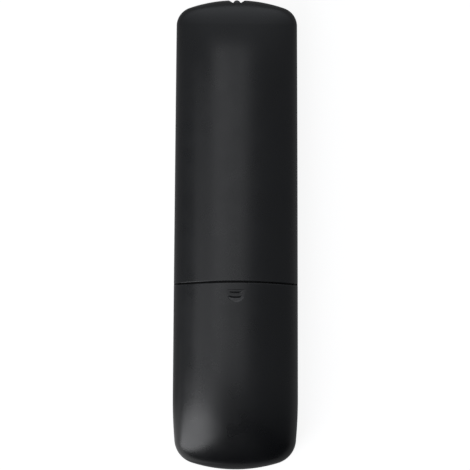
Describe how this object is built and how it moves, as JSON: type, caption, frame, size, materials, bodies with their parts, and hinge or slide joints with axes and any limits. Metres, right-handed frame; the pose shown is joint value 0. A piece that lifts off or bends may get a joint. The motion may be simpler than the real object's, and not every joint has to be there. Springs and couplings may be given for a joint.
{
  "type": "remote control",
  "caption": "Hand-held infra-red remote control with a crowned matte back, a sliding battery cover, pressed keys, rocker keys and a direction pad.",
  "frame": {"origin": "on the table under the middle of the remote, at the plane of its rest pads", "axes": "+Y along the remote towards the infra-red end, +Z out of its back, which faces up"},
  "size_m": [0.0502, 0.188, 0.0245],
  "materials": {
    "case_back": "black ABS with a fine spark-eroded grain",
    "case_front": "black ABS, satin",
    "diode": "dark tinted clear epoxy",
    "lamp": "red tinted clear epoxy",
    "silicone": "moulded grey silicone",
    "carbon": "matte carbon-filled silicone",
    "board": "brown paper laminate with a green mask",
    "chip": "moulded epoxy package",
    "ceramic": "dipped ceramic",
    "can": "sleeved aluminium can",
    "contact": "nickel-plated spring steel",
    "cell": "printed film sleeve",
    "screw": "black zinc",
    "pad": "soft black elastomer",
    "key_grey": "satin moulded cap",
    "key_dark": "satin moulded cap",
    "key_red": "satin moulded cap",
    "key_green": "satin moulded cap",
    "key_yellow": "satin moulded cap",
    "key_blue": "satin moulded cap"
  },
  "bodies": {
    "case": {"rear_shell": "case_back", "front_shell": "case_front", "ir_led": "diode", "status_led": "lamp", "dome_sheet": "silicone", "contact_pills": "carbon", "circuit_board": "board", "microcontroller": "chip", "ceramic_resonator": "ceramic", "reservoir_capacitor": "can", "driver_transistor": "chip", "chip_components": "chip", "spring_contact": "contact", "plate_contact": "contact", "bridge_contact": "contact", "battery_left": "cell", "battery_right": "cell", "case_screws": "screw", "rest_pads": "pad"},
    "battery_cover": {"battery_cover": "case_back"},
    "key_power": {"key_power": "key_red"},
    "key_source": {"key_source": "key_grey"},
    "key_1": {"key_1": "key_grey"},
    "key_2": {"key_2": "key_grey"},
    "key_3": {"key_3": "key_grey"},
    "key_4": {"key_4": "key_grey"},
    "key_5": {"key_5": "key_grey"},
    "key_6": {"key_6": "key_grey"},
    "key_7": {"key_7": "key_grey"},
    "key_8": {"key_8": "key_grey"},
    "key_9": {"key_9": "key_grey"},
    "key_list": {"key_list": "key_grey"},
    "key_0": {"key_0": "key_grey"},
    "key_recall": {"key_recall": "key_grey"},
    "key_volume": {"key_volume": "key_grey"},
    "key_mute": {"key_mute": "key_grey"},
    "key_channel": {"key_channel": "key_grey"},
    "key_up": {"key_up": "key_dark"},
    "key_right": {"key_right": "key_dark"},
    "key_down": {"key_down": "key_dark"},
    "key_left": {"key_left": "key_dark"},
    "key_ok": {"key_ok": "key_grey"},
    "key_menu": {"key_menu": "key_grey"},
    "key_guide": {"key_guide": "key_grey"},
    "key_exit": {"key_exit": "key_grey"},
    "key_info": {"key_info": "key_grey"},
    "key_red": {"key_red": "key_red"},
    "key_green": {"key_green": "key_green"},
    "key_yellow": {"key_yellow": "key_yellow"},
    "key_blue": {"key_blue": "key_blue"},
    "key_rewind": {"key_rewind": "key_grey"},
    "key_play": {"key_play": "key_grey"},
    "key_forward": {"key_forward": "key_grey"},
    "key_record": {"key_record": "key_grey"},
    "key_pause": {"key_pause": "key_grey"},
    "key_stop": {"key_stop": "key_grey"}
  },
  "joints": [
    {"name": "battery_cover_slide", "type": "slide", "parent": "case", "child": "battery_cover", "axis": [0, -1, 0], "range_m": [0, 0.08]},
    {"name": "key_power_press", "type": "slide", "parent": "case", "child": "key_power", "axis": [0, 0, 1], "range_m": [0, 0.0008], "stiffness_N_per_m": 1500, "deforming": ["dome_sheet"]},
    {"name": "key_source_press", "type": "slide", "parent": "case", "child": "key_source", "axis": [0, 0, 1], "range_m": [0, 0.0008], "stiffness_N_per_m": 1500, "deforming": ["dome_sheet"]},
    {"name": "key_1_press", "type": "slide", "parent": "case", "child": "key_1", "axis": [0, 0, 1], "range_m": [0, 0.0008], "stiffness_N_per_m": 1500, "deforming": ["dome_sheet"]},
    {"name": "key_2_press", "type": "slide", "parent": "case", "child": "key_2", "axis": [0, 0, 1], "range_m": [0, 0.0008], "stiffness_N_per_m": 1500, "deforming": ["dome_sheet"]},
    {"name": "key_3_press", "type": "slide", "parent": "case", "child": "key_3", "axis": [0, 0, 1], "range_m": [0, 0.0008], "stiffness_N_per_m": 1500, "deforming": ["dome_sheet"]},
    {"name": "key_4_press", "type": "slide", "parent": "case", "child": "key_4", "axis": [0, 0, 1], "range_m": [0, 0.0008], "stiffness_N_per_m": 1500, "deforming": ["dome_sheet"]},
    {"name": "key_5_press", "type": "slide", "parent": "case", "child": "key_5", "axis": [0, 0, 1], "range_m": [0, 0.0008], "stiffness_N_per_m": 1500, "deforming": ["dome_sheet"]},
    {"name": "key_6_press", "type": "slide", "parent": "case", "child": "key_6", "axis": [0, 0, 1], "range_m": [0, 0.0008], "stiffness_N_per_m": 1500, "deforming": ["dome_sheet"]},
    {"name": "key_7_press", "type": "slide", "parent": "case", "child": "key_7", "axis": [0, 0, 1], "range_m": [0, 0.0008], "stiffness_N_per_m": 1500, "deforming": ["dome_sheet"]},
    {"name": "key_8_press", "type": "slide", "parent": "case", "child": "key_8", "axis": [0, 0, 1], "range_m": [0, 0.0008], "stiffness_N_per_m": 1500, "deforming": ["dome_sheet"]},
    {"name": "key_9_press", "type": "slide", "parent": "case", "child": "key_9", "axis": [0, 0, 1], "range_m": [0, 0.0008], "stiffness_N_per_m": 1500, "deforming": ["dome_sheet"]},
    {"name": "key_list_press", "type": "slide", "parent": "case", "child": "key_list", "axis": [0, 0, 1], "range_m": [0, 0.0008], "stiffness_N_per_m": 1500, "deforming": ["dome_sheet"]},
    {"name": "key_0_press", "type": "slide", "parent": "case", "child": "key_0", "axis": [0, 0, 1], "range_m": [0, 0.0008], "stiffness_N_per_m": 1500, "deforming": ["dome_sheet"]},
    {"name": "key_recall_press", "type": "slide", "parent": "case", "child": "key_recall", "axis": [0, 0, 1], "range_m": [0, 0.0008], "stiffness_N_per_m": 1500, "deforming": ["dome_sheet"]},
    {"name": "key_volume_rock", "type": "hinge", "parent": "case", "child": "key_volume", "pos_m": [0.013, 0.01699, 0.0035], "axis": [1, 0, 0], "range_deg": [-3, 3], "stiffness_Nm_per_rad": 0.25, "deforming": ["dome_sheet"]},
    {"name": "key_mute_press", "type": "slide", "parent": "case", "child": "key_mute", "axis": [0, 0, 1], "range_m": [0, 0.0008], "stiffness_N_per_m": 1500, "deforming": ["dome_sheet"]},
    {"name": "key_channel_rock", "type": "hinge", "parent": "case", "child": "key_channel", "pos_m": [-0.013, 0.01699, 0.0035], "axis": [1, 0, 0], "range_deg": [-3, 3], "stiffness_Nm_per_rad": 0.25, "deforming": ["dome_sheet"]},
    {"name": "key_up_press", "type": "slide", "parent": "case", "child": "key_up", "axis": [0, 0, 1], "range_m": [0, 0.0008], "stiffness_N_per_m": 1500, "deforming": ["dome_sheet"]},
    {"name": "key_right_press", "type": "slide", "parent": "case", "child": "key_right", "axis": [0, 0, 1], "range_m": [0, 0.0008], "stiffness_N_per_m": 1500, "deforming": ["dome_sheet"]},
    {"name": "key_down_press", "type": "slide", "parent": "case", "child": "key_down", "axis": [0, 0, 1], "range_m": [0, 0.0008], "stiffness_N_per_m": 1500, "deforming": ["dome_sheet"]},
    {"name": "key_left_press", "type": "slide", "parent": "case", "child": "key_left", "axis": [0, 0, 1], "range_m": [0, 0.0008], "stiffness_N_per_m": 1500, "deforming": ["dome_sheet"]},
    {"name": "key_ok_press", "type": "slide", "parent": "case", "child": "key_ok", "axis": [0, 0, 1], "range_m": [0, 0.0008], "stiffness_N_per_m": 1500, "deforming": ["dome_sheet"]},
    {"name": "key_menu_press", "type": "slide", "parent": "case", "child": "key_menu", "axis": [0, 0, 1], "range_m": [0, 0.0008], "stiffness_N_per_m": 1500, "deforming": ["dome_sheet"]},
    {"name": "key_guide_press", "type": "slide", "parent": "case", "child": "key_guide", "axis": [0, 0, 1], "range_m": [0, 0.0008], "stiffness_N_per_m": 1500, "deforming": ["dome_sheet"]},
    {"name": "key_exit_press", "type": "slide", "parent": "case", "child": "key_exit", "axis": [0, 0, 1], "range_m": [0, 0.0008], "stiffness_N_per_m": 1500, "deforming": ["dome_sheet"]},
    {"name": "key_info_press", "type": "slide", "parent": "case", "child": "key_info", "axis": [0, 0, 1], "range_m": [0, 0.0008], "stiffness_N_per_m": 1500, "deforming": ["dome_sheet"]},
    {"name": "key_red_press", "type": "slide", "parent": "case", "child": "key_red", "axis": [0, 0, 1], "range_m": [0, 0.0008], "stiffness_N_per_m": 1500, "deforming": ["dome_sheet"]},
    {"name": "key_green_press", "type": "slide", "parent": "case", "child": "key_green", "axis": [0, 0, 1], "range_m": [0, 0.0008], "stiffness_N_per_m": 1500, "deforming": ["dome_sheet"]},
    {"name": "key_yellow_press", "type": "slide", "parent": "case", "child": "key_yellow", "axis": [0, 0, 1], "range_m": [0, 0.0008], "stiffness_N_per_m": 1500, "deforming": ["dome_sheet"]},
    {"name": "key_blue_press", "type": "slide", "parent": "case", "child": "key_blue", "axis": [0, 0, 1], "range_m": [0, 0.0008], "stiffness_N_per_m": 1500, "deforming": ["dome_sheet"]},
    {"name": "key_rewind_press", "type": "slide", "parent": "case", "child": "key_rewind", "axis": [0, 0, 1], "range_m": [0, 0.0008], "stiffness_N_per_m": 1500, "deforming": ["dome_sheet"]},
    {"name": "key_play_press", "type": "slide", "parent": "case", "child": "key_play", "axis": [0, 0, 1], "range_m": [0, 0.0008], "stiffness_N_per_m": 1500, "deforming": ["dome_sheet"]},
    {"name": "key_forward_press", "type": "slide", "parent": "case", "child": "key_forward", "axis": [0, 0, 1], "range_m": [0, 0.0008], "stiffness_N_per_m": 1500, "deforming": ["dome_sheet"]},
    {"name": "key_record_press", "type": "slide", "parent": "case", "child": "key_record", "axis": [0, 0, 1], "range_m": [0, 0.0008], "stiffness_N_per_m": 1500, "deforming": ["dome_sheet"]},
    {"name": "key_pause_press", "type": "slide", "parent": "case", "child": "key_pause", "axis": [0, 0, 1], "range_m": [0, 0.0008], "stiffness_N_per_m": 1500, "deforming": ["dome_sheet"]},
    {"name": "key_stop_press", "type": "slide", "parent": "case", "child": "key_stop", "axis": [0, 0, 1], "range_m": [0, 0.0008], "stiffness_N_per_m": 1500, "deforming": ["dome_sheet"]}
  ]
}
